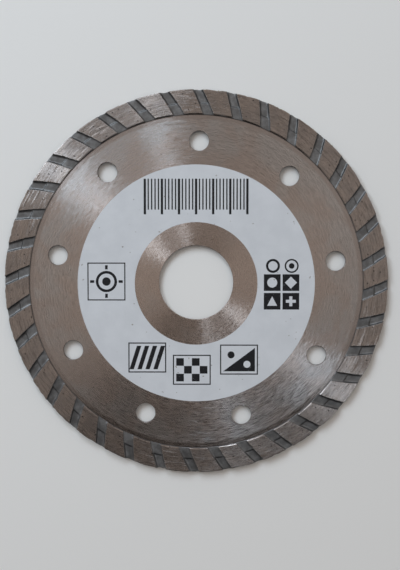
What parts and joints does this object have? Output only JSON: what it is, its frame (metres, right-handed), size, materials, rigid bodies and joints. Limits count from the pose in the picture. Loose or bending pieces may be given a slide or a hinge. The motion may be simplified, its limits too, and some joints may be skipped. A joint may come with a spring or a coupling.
{
  "type": "diamond blade",
  "caption": "Thin round cutting blade for an angle grinder: a ground steel core with a bore, cooling holes and printed labels, ringed by a sintered diamond rim with slanted turbo grooves.",
  "frame": {"origin": "on the bore's axis, halfway through the core's thickness", "axes": "+Z along the bore's axis, out of the front face, which has the panels and tiles; +Y from the centre towards the front label's bar scale"},
  "size_m": [0.115, 0.115, 0.0022],
  "materials": {
    "core_steel": "ground in fine circles, with faint brown staining",
    "sintered_metal": "pressed and sintered, matte, with ground lands",
    "diamond": "small rough crystals",
    "label_paint": "printed satin paint",
    "black_ink": "printed satin ink"
  },
  "bodies": {
    "root": {"steel_core": "core_steel", "diamond_rim": "sintered_metal", "diamond_grit": "diamond", "front_label": "label_paint", "front_bar_scale": "black_ink", "front_left_panel": "black_ink", "front_lower_panels": "black_ink", "front_right_tiles": "black_ink", "front_right_rings": "black_ink", "back_label": "label_paint", "back_rotation_arrows": "black_ink", "back_border_rings": "black_ink"}
  },
  "joints": []
}
